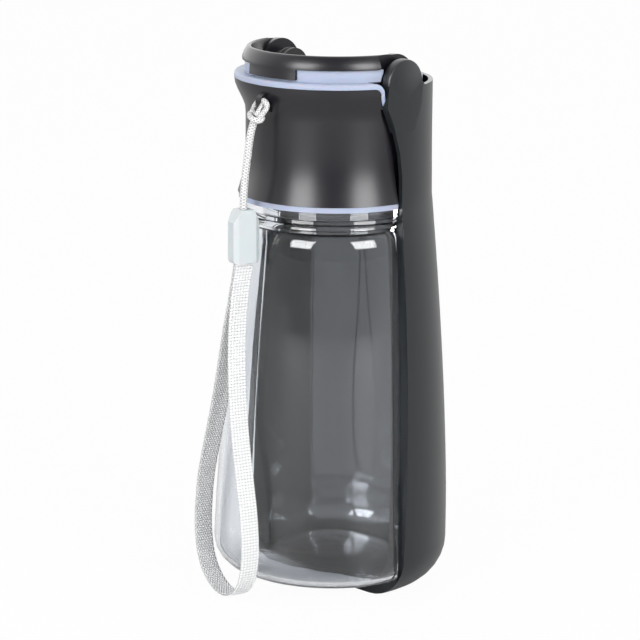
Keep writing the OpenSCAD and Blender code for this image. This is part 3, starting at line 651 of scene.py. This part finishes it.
# painted shadow: ambient occlusion dims the floor's glow seen through the clear base, so it is darker close
# under the bottle, where little light comes in
painted_shelter_shadow = add(pale, "ShaderNodeAmbientOcclusion", samples=8)
painted_shelter_shadow.inputs["Distance"].default_value = SHELTER_REACH
through = add(pale, "ShaderNodeMath", operation="MULTIPLY")
join(pale, light_path.outputs["Is Transmission Ray"], through.inputs[0])
join(pale, painted_shelter_shadow.outputs["AO"], through.inputs[1])
join(pale, through.outputs[0], seen.inputs[1])
share = add(pale, "ShaderNodeMath", operation="MULTIPLY")
share.inputs[1].default_value = FLOOR_WHITE
join(pale, seen.outputs[0], share.inputs[0])
glow = add(pale, "ShaderNodeEmission")
glow.inputs["Color"].default_value = (1, 1, 1, 1)
mixer = add(pale, "ShaderNodeMixShader")
join(pale, share.outputs[0], mixer.inputs[0])
join(pale, shader_of(pale).outputs[0], mixer.inputs[1])
join(pale, glow.outputs[0], mixer.inputs[2])
join(pale, mixer.outputs[0], pale.node_tree.nodes["Material Output"].inputs["Surface"])
floor.data.materials.append(pale)

# %% World
ROOM_DARK, ROOM_BRIGHT = 0.24, 2.0  # what gloss mirrors behind the photographer and behind the bottle
ROOM_EDGE = 0.5  # half the breadth of the change between them, as a cosine
LIGHT_LEVEL, BACKDROP_LEVEL = 0.52, 1.0  # what lights matt surfaces, and what is seen
world = bpy.data.worlds.new("studio")
bpy.context.scene.world = world
world.use_nodes = True
surround = world.node_tree.nodes["Background"]
surround.inputs["Color"].default_value = (1, 1, 1, 1)


def sky(kind, **values):
    node = world.node_tree.nodes.new(kind)
    for key, value in values.items():
        setattr(node, key, value)
    return node


def tie(a, b):
    world.node_tree.links.new(a, b)


# glossy pieces mirror a room that is bright behind the bottle and dark behind the photographer
paths, where = sky("ShaderNodeLightPath"), sky("ShaderNodeTexCoord")
toward = sky("ShaderNodeVectorMath", operation="DOT_PRODUCT")
toward.inputs[1].default_value = (-math.sin(AZIMUTH), math.cos(AZIMUTH), 0)
tie(where.outputs["Generated"], toward.inputs[0])
room = sky("ShaderNodeMapRange")
room.inputs["From Min"].default_value, room.inputs["From Max"].default_value = -ROOM_EDGE, ROOM_EDGE
room.inputs["To Min"].default_value, room.inputs["To Max"].default_value = ROOM_DARK, ROOM_BRIGHT
tie(toward.outputs["Value"], room.inputs["Value"])
# what is seen directly or through clear plastic is the white backdrop
seen_ray = sky("ShaderNodeMath", operation="MAXIMUM")
tie(paths.outputs["Is Camera Ray"], seen_ray.inputs[0])
tie(paths.outputs["Is Transmission Ray"], seen_ray.inputs[1])
gloss = sky("ShaderNodeMix", data_type="FLOAT")
tie(paths.outputs["Is Glossy Ray"], gloss.inputs["Factor"])
gloss.inputs["A"].default_value = LIGHT_LEVEL
tie(room.outputs["Result"], gloss.inputs["B"])
level = sky("ShaderNodeMix", data_type="FLOAT")
tie(seen_ray.outputs[0], level.inputs["Factor"])
tie(gloss.outputs["Result"], level.inputs["A"])
level.inputs["B"].default_value = BACKDROP_LEVEL
tie(level.outputs["Result"], surround.inputs["Strength"])


# %% Soft boxes
def softbox(name, around, height, away, wide, tall, power, gloss):
    """An area light turned to the bottle, around degrees from the camera; in metres and watts."""
    data = bpy.data.lights.new(name, "AREA")
    data.shape, data.size, data.size_y, data.energy = "RECTANGLE", wide, tall, power
    lamp = bpy.data.objects.new(name, data)
    bpy.context.scene.collection.objects.link(lamp)
    a = AZIMUTH + math.radians(around)
    lamp.location = (math.sin(a) * away, -math.cos(a) * away, height)
    lamp.rotation_euler = (AIM - lamp.location).to_track_quat("-Z", "Y").to_euler()
    lamp.visible_glossy = gloss
    lamp.visible_diffuse = not gloss
    lamp.visible_transmission = gloss


for side, name in ((1, "right"), (-1, "left")):
    softbox("softbox_" + name, around=side * 37, height=0.66, away=1.3, wide=0.5, tall=0.75,
            power=9, gloss=False)
    softbox("reflection_" + name, around=side * 39, height=0.62, away=1.3, wide=0.66, tall=0.8,
            power=18, gloss=True)

# %% View
bpy.context.scene.view_settings.view_transform = "Standard"
